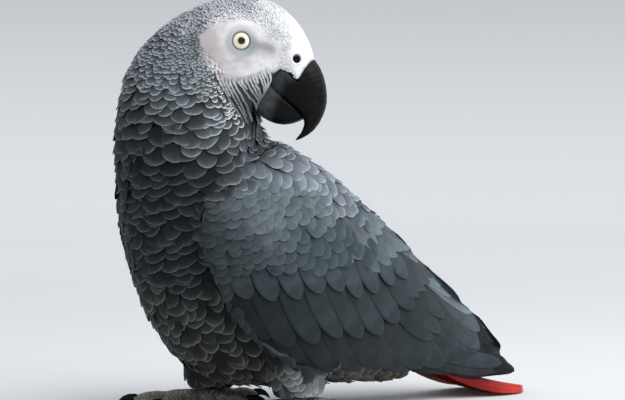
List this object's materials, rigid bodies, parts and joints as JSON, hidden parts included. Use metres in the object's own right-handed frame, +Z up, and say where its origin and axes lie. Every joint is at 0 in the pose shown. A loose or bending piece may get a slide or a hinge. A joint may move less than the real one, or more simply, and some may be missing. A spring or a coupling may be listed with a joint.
{
  "type": "grey parrot",
  "caption": "Life-size grey parrot standing on both feet, looking back over its left shoulder, with folded wings and a short red tail.",
  "frame": {"origin": "centre of the bird's box, on the floor that the soles stand on", "axes": "+Z up, the breast faces -Y, the tail points to +Y, the bird's left wing is on the +X side"},
  "size_m": [0.1006, 0.2358, 0.2004],
  "materials": {
    "crown": "small soft feathers, pale grey with white edges",
    "neck": "rounded grey feathers with silvery rims",
    "trunk": "dark grey body feathers with faint pale rims",
    "coverts": "smooth slate grey wing coverts",
    "remiges": "long dark grey flight feathers",
    "tail": "scarlet tail feathers",
    "thigh": "short soft pale grey feathers",
    "cere": "white finely feathered skin around the nostrils",
    "bill": "glossy black horn",
    "eye": "pale yellow iris with a black pupil, wet gloss",
    "foot": "dry scaly grey skin",
    "claw": "dark polished horn"
  },
  "bodies": {
    "root": {"bill_lower": "bill", "bill_upper": "bill", "cere": "cere", "claw_left_inner_back": "claw", "claw_left_inner_front": "claw", "claw_left_outer_back": "claw", "claw_left_outer_front": "claw", "claw_right_inner_back": "claw", "claw_right_inner_front": "claw", "claw_right_outer_back": "claw", "claw_right_outer_front": "claw", "eye_left": "eye", "eye_right": "eye", "foot_left": "foot", "foot_right": "foot", "head": "crown", "neck": "neck", "tail": "tail", "tarsus_left": "foot", "tarsus_right": "foot", "thigh_left": "thigh", "thigh_right": "thigh", "trunk": "trunk", "wing_left_coverts": "coverts", "wing_left_primaries": "remiges", "wing_left_secondaries": "remiges", "wing_right_coverts": "coverts", "wing_right_primaries": "remiges", "wing_right_secondaries": "remiges"}
  },
  "joints": []
}
